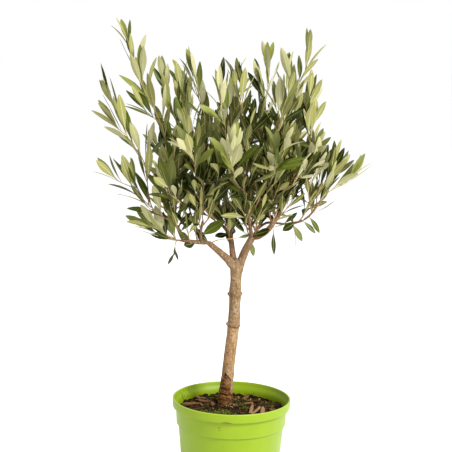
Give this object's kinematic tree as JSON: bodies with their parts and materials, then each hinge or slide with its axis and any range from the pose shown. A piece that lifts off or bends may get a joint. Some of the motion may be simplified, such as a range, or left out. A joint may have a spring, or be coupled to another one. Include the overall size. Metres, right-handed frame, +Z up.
{
  "type": "potted olive tree",
  "caption": "Young olive tree on a bare, slightly leaning stem with an open, upswept crown of narrow grey-green leaves, in a round tapered plastic pot with a rim band and collar.",
  "frame": {"origin": "centre of the pot's flat underside", "axes": "+Z up along the pot's axis; -Y is the tree's front; the right-hand bough reaches towards +X"},
  "size_m": [0.4335, 0.3376, 0.772],
  "materials": {
    "pot": "satin",
    "soil": "matte",
    "bark": "matte",
    "leaf": "satin"
  },
  "bodies": {
    "root": {"pot": "pot", "soil": "soil", "trunk": "bark", "right_bough_lower": "bark", "left_bough_lower": "bark", "centre_bough": "bark", "left_bough_outer": "bark", "left_riser": "bark", "inner_left_riser": "bark", "right_bough_outer": "bark", "right_bough_upper": "bark", "front_riser": "bark", "back_riser": "bark", "crossing_riser": "bark", "back_left_riser": "bark", "low_right_twig": "bark", "low_right_twig_end": "bark", "left_heart": "leaf", "inner_left_heart": "leaf", "centre_back_heart": "leaf", "front_heart": "leaf", "right_heart": "leaf", "back_right_heart": "leaf", "crossing_heart": "leaf", "low_left_sprig": "leaf", "left_arm": "leaf", "left_tall_outer": "leaf", "left_tall_inner": "leaf", "left_top_slim": "leaf", "left_top_front": "leaf", "centre_left_top": "leaf", "centre_top_back": "leaf", "centre_top_front": "leaf", "right_top_inner": "leaf", "right_top_outer": "leaf", "right_side_back": "leaf", "right_side_high": "leaf", "right_side_low": "leaf", "right_arm": "leaf", "right_arm_upper": "leaf", "front_low_left": "leaf", "front_mid_left": "leaf", "front_centre": "leaf", "front_centre_high": "leaf", "front_right": "leaf", "front_right_high": "leaf", "front_low_right": "leaf", "back_low_left": "leaf", "back_high_left": "leaf", "back_centre": "leaf", "back_centre_high": "leaf", "back_right": "leaf", "back_right_high": "leaf", "back_low_right": "leaf", "hanging_left": "leaf", "hanging_right": "leaf", "hanging_centre": "leaf"}
  },
  "joints": []
}
